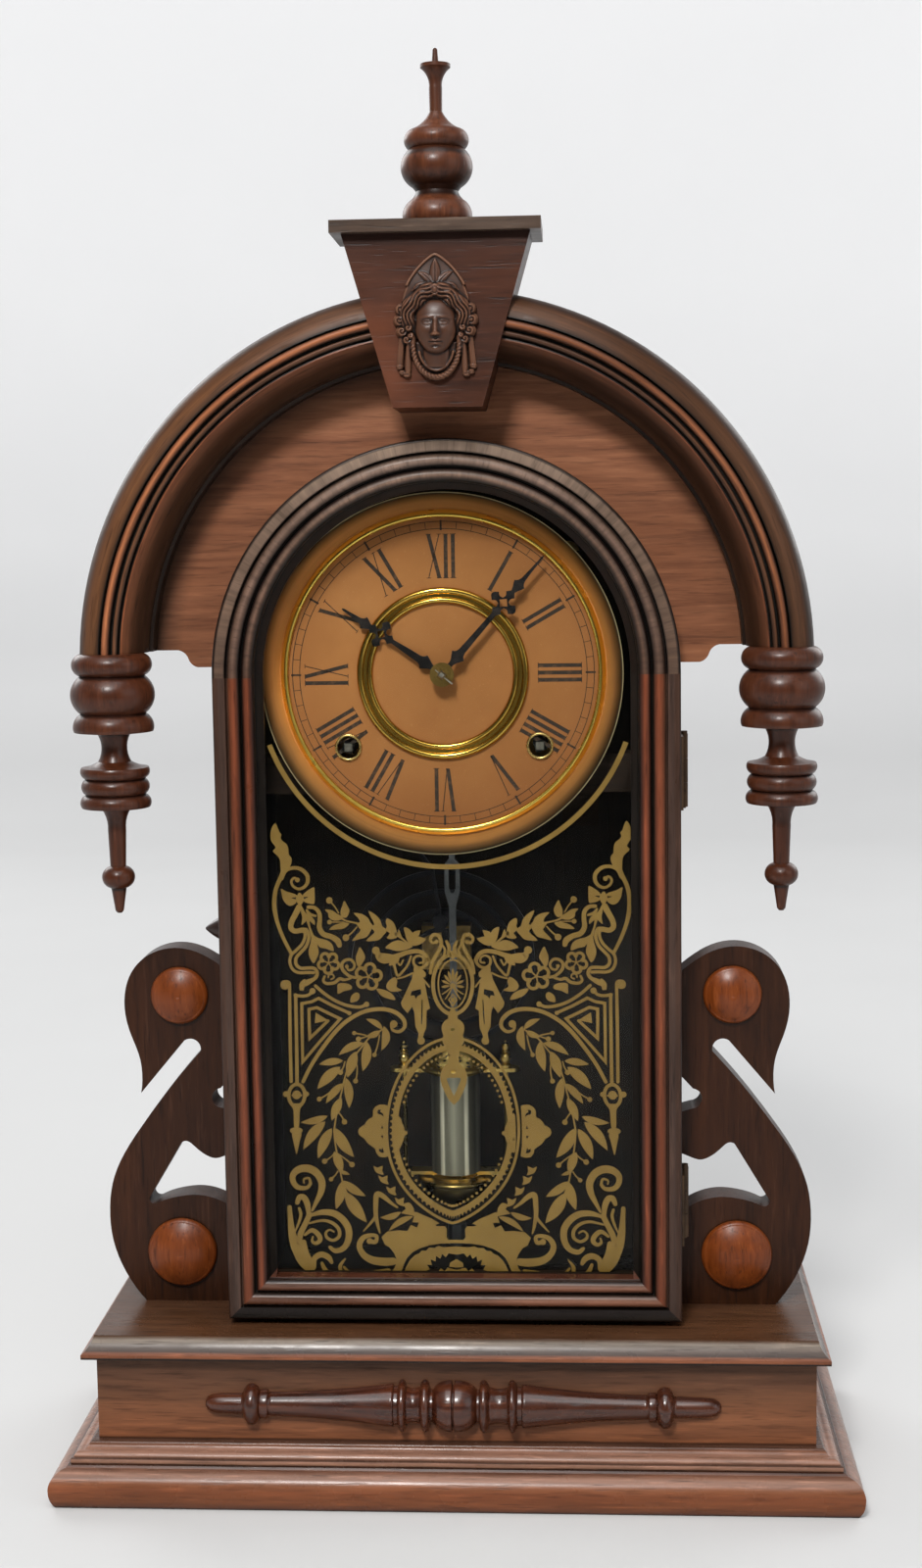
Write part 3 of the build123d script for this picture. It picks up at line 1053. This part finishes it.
# ===========================================================================
# PENDULUM
# ===========================================================================
Y_P0, Y_P1 = yd(44.5), yd(46.0)
Y_PC = yd(45.25)
EYE_Z0, EYE_Z1, EYE_W = 330.6, 349.0, 6.6
with BuildPart() as pendulum_rod:
    slab(PX - 1.2, PX + 1.2, Y_P0, Y_P1, EYE_Z1, ZP - 2.9)
    # open eye that passes round the centre arbor
    poly_y([(PX - 8.2, EYE_Z0 - 1.2), (PX + 8.2, EYE_Z0 - 1.2), (PX + 8.6, EYE_Z0 + 3), (PX + 8.6, EYE_Z1 - 3),
            (PX + 8.2, EYE_Z1 + 1.2), (PX - 8.2, EYE_Z1 + 1.2), (PX - 8.6, EYE_Z1 - 3), (PX - 8.6, EYE_Z0 + 3)], Y_P0, Y_P1)
    slab(PX - EYE_W, PX + EYE_W, Y_P0 - 1, Y_P1 + 1, EYE_Z0, EYE_Z1, mode=Mode.SUBTRACT)
    slab(PX - 1.2, PX + 1.2, Y_P0, Y_P1, 256.0, EYE_Z0)
    # loop where the bob wire hooks on
    poly_y([(PX - 1.4, 259.5), (PX - 3.2, 257.0), (PX - 3.3, 245.5), (PX - 1.5, 239.2), (PX + 1.5, 239.2), (PX + 3.3, 245.5),
            (PX + 3.2, 257.0), (PX + 1.4, 259.5)], Y_P0, Y_P1)
    poly_y([(PX - 0.9, 256.4), (PX - 1.5, 254.6), (PX - 1.5, 246.6), (PX - 0.6, 244.8), (PX + 0.6, 244.8), (PX + 1.5, 246.6),
            (PX + 1.5, 254.6), (PX + 0.9, 256.4)], Y_P0 - 1, Y_P1 + 1, mode=Mode.SUBTRACT)
    slab(PX - 1.45, PX + 1.45, Y_P0, Y_P1, 187.6, 240.0)
    cyl_z(PX, Y_PC, 76.2, 188.0, 1.3)
    # rating nut below the bob
    with BuildSketch(Plane.XY.offset(89.5)):
        with Locations((PX, Y_PC)):
            RegularPolygon(radius=4.0, side_count=12)
    extrude(amount=9.5)
save(pendulum_rod, "pendulum_rod")

with BuildPart() as pendulum_bob:
    # domed cap with a rolled rim
    turned(PX, Y_PC, [(1.3, 187.0), ("L", 2.6, 187.0), ("L", 2.9, 184.4), ("A", 4.0, 181.4, 7.2, 180.0),
                      ("A", 11.9, 176.6, 12.9, 170.6), ("L", 14.6, 169.9), ("A", 15.1, 169.0, 14.6, 168.0),
                      ("L", 11.0, 168.0), ("L", 11.0, 166.4), ("L", 1.3, 166.4), ("L", 1.3, 187.0)])
    # lower dish
    turned(PX, Y_PC, [(1.3, 121.4), ("L", 11.0, 121.4), ("L", 11.0, 120.4), ("L", 15.6, 120.4), ("A", 16.3, 119.5, 15.6, 118.6),
                      ("A", 13.2, 111.8, 6.6, 109.2), ("L", 5.0, 107.6), ("L", 1.3, 107.2), ("L", 1.3, 121.4)])
    # cross bars
    for zb, w in ((166.9, 28.0), (121.4, 23.6)):
        with BuildSketch(Plane.XY.offset(zb)):
            with Locations((PX, Y_PC)):
                SlotOverall(2 * w, 7.0)
            with Locations((PX, Y_PC)):
                Circle(1.3, mode=Mode.SUBTRACT)
        extrude(amount=1.5)
    for sg in (-1, 1):
        cx = PX + sg * 22.0
        turned(cx, Y_PC, [(0, 122.0), ("L", 1.0, 122.0), ("L", 1.0, 168.0), ("L", 2.6, 168.4), ("L", 2.6, 169.4),
                          ("L", 1.5, 170.2), ("A", 2.5, 172.4, 1.3, 174.6), ("L", 2.0, 175.2), ("L", 1.3, 176.0),
                          ("A", 1.7, 177.6, 0.9, 179.0), ("L", 0, 180.2), ("L", 0, 122.0)])
save(pendulum_bob, "pendulum_bob")

with BuildPart() as bob_jar:
    cyl_z(PX, Y_PC, 122.9, 166.4, 10.6)
    cyl_z(PX, Y_PC, 122.0, 167.4, 1.3, mode=Mode.SUBTRACT)
save(bob_jar, "bob_jar")

# ===========================================================================
# GONG
# ===========================================================================
with BuildPart() as gong_base_block:
    slab(-18.0, 4.0, yd(91.0), Y_BACK, 201.8, 221.8)
    cyl_y(-7.0, 208.0, yd(86.6), yd(91.0), 3.0)
save(gong_base_block, "gong_base_block")

with BuildPart() as gong_coil:
    spiral((-7.0, 206.0), 14.0, 42.5, 3.25, math.pi / 2, 1, 2.0, yd(84.6), yd(86.6))
    # inner end runs in to the post
    slab(-8.6, -5.4, yd(84.6), yd(86.6), 206.5, 221.4)
save(gong_coil, "gong_coil")
